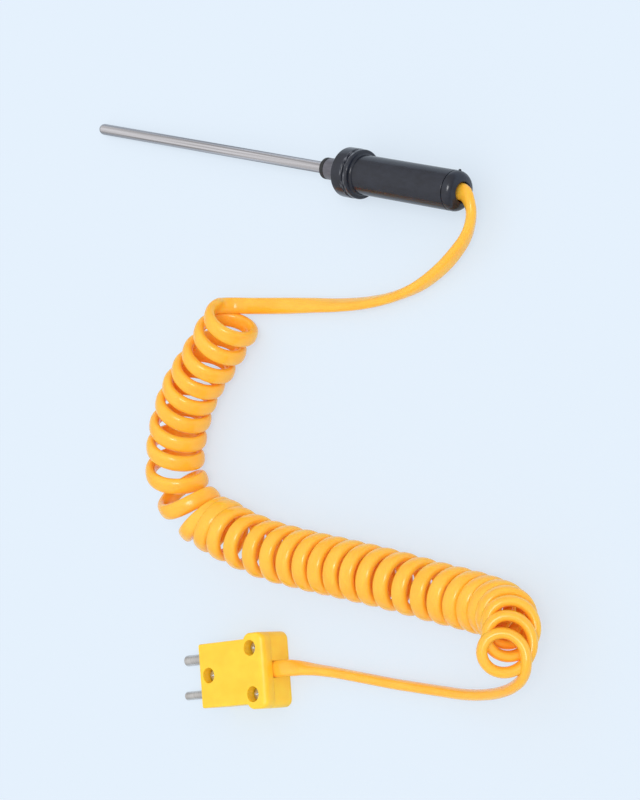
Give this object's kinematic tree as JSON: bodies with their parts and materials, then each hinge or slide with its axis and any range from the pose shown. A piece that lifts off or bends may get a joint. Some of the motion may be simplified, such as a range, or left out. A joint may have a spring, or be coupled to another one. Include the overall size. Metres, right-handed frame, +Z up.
{
  "type": "thermocouple probe",
  "caption": "Straight steel temperature probe with a round black handle, a curly orange cord and a yellow round-pin plug, lying as it comes to rest.",
  "frame": {"origin": "on the surface the probe lies on, under the middle of the box around the rigid probe (stem and handle)", "axes": "+X along the probe towards the handle and the cord, +Z up, +Y away from the coil and the plug"},
  "size_m": [0.229, 0.1821, 0.0303],
  "materials": {
    "stem_steel": "satin",
    "ceramic": "matt",
    "thermocouple_alloy": "drawn wire",
    "seal_rubber": "matt",
    "collar_plastic": "satin",
    "handle_plastic": "satin to glossy",
    "crimp_metal": "tinned",
    "cord_jacket": "glossy, soft",
    "negative_insulation": "satin",
    "positive_insulation": "satin",
    "plug_plastic": "satin moulded",
    "pin_nickel": "nickel plated",
    "screw_steel": "bright"
  },
  "bodies": {
    "root": {"stem_sheath": "stem_steel", "measuring_junction": "thermocouple_alloy", "insulator_core": "ceramic", "wire_positive": "thermocouple_alloy", "wire_negative": "thermocouple_alloy", "stem_seal": "seal_rubber", "stem_collar": "collar_plastic", "front_cap": "handle_plastic", "handle_barrel": "handle_plastic", "rear_cap": "handle_plastic", "splice_positive": "crimp_metal", "splice_negative": "crimp_metal", "handle_conductor_positive": "positive_insulation", "handle_conductor_negative": "negative_insulation", "cord_stop": "crimp_metal", "cord_handle_end": "cord_jacket", "coil_upper": "cord_jacket", "coil_bend": "cord_jacket", "coil_lower": "cord_jacket", "coil_end": "cord_jacket", "cord_plug_end": "cord_jacket", "plug_conductor_positive": "positive_insulation", "plug_conductor_negative": "negative_insulation", "plug_base": "plug_plastic", "plug_cover": "plug_plastic", "pin_positive": "pin_nickel", "pin_negative": "pin_nickel", "terminal_washer_positive": "screw_steel", "terminal_washer_negative": "screw_steel", "terminal_screw_positive": "screw_steel", "terminal_screw_negative": "screw_steel", "cover_screw_front": "screw_steel", "cover_screw_upper": "screw_steel", "cover_screw_lower": "screw_steel"}
  },
  "joints": []
}
